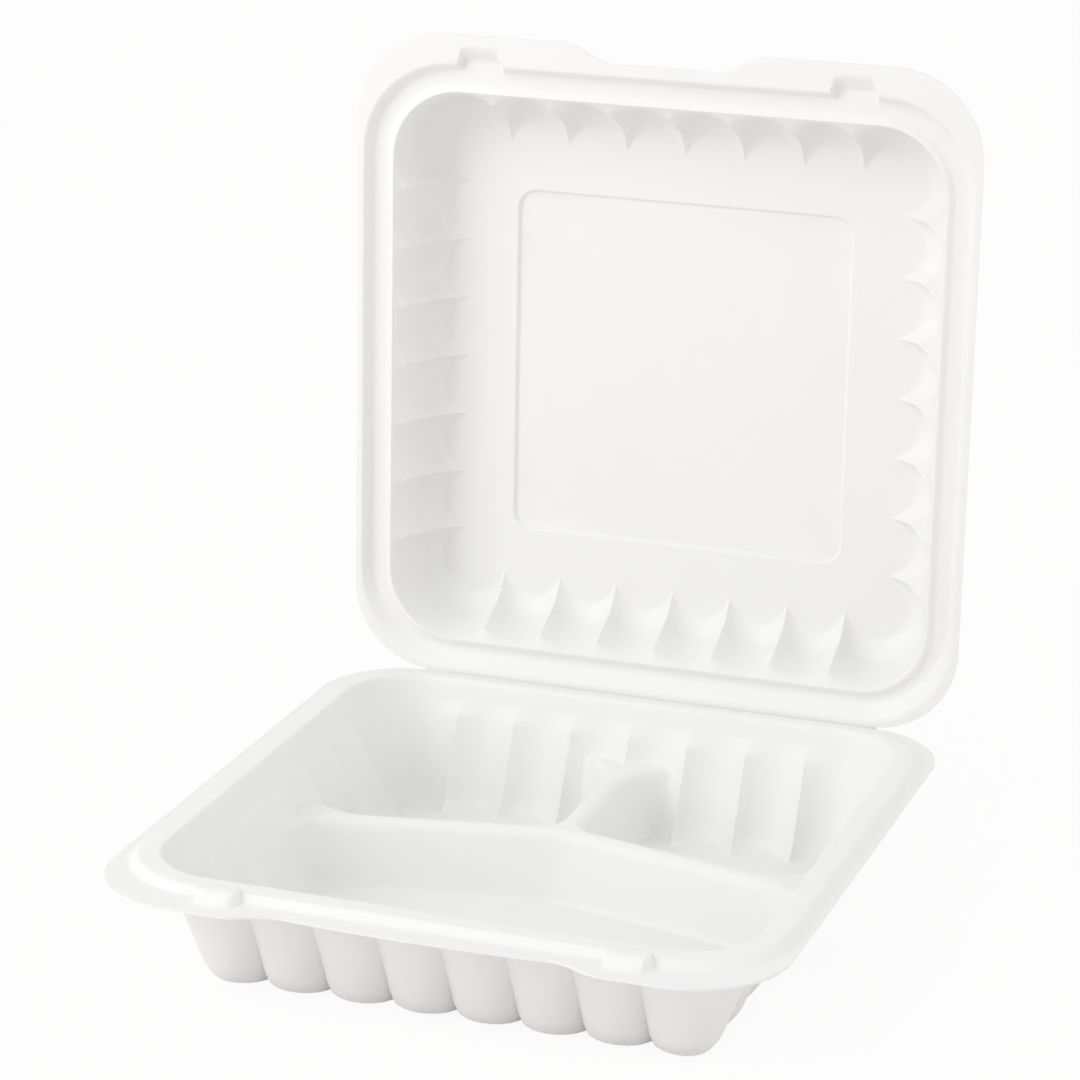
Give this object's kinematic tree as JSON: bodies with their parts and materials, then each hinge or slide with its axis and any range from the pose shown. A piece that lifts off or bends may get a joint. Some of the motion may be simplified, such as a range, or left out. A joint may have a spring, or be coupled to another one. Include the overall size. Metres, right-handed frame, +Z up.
{
  "type": "three-compartment hinged food container",
  "caption": "White hinged take-away food container with fluted walls, a Y-shaped hollow divider, a raised rim bead and a snap-shut lid on a living hinge.",
  "frame": {"origin": "on the underside of the tray, below the middle of its opening", "axes": "+X to the right, -Y to the front with the snap locks, +Y to the fold, +Z up"},
  "size_m": [0.211, 0.2503, 0.2567],
  "materials": {
    "white_plastic": "matte"
  },
  "bodies": {
    "tray": {"base_tray": "white_plastic"},
    "cover": {"lid": "white_plastic"}
  },
  "joints": [
    {"name": "lid_hinge", "type": "hinge", "parent": "tray", "child": "cover", "pos_m": [0, 0.105, 0.0385], "axis": [-1, 0, 0], "range_deg": [-91.4, 88.6]}
  ]
}
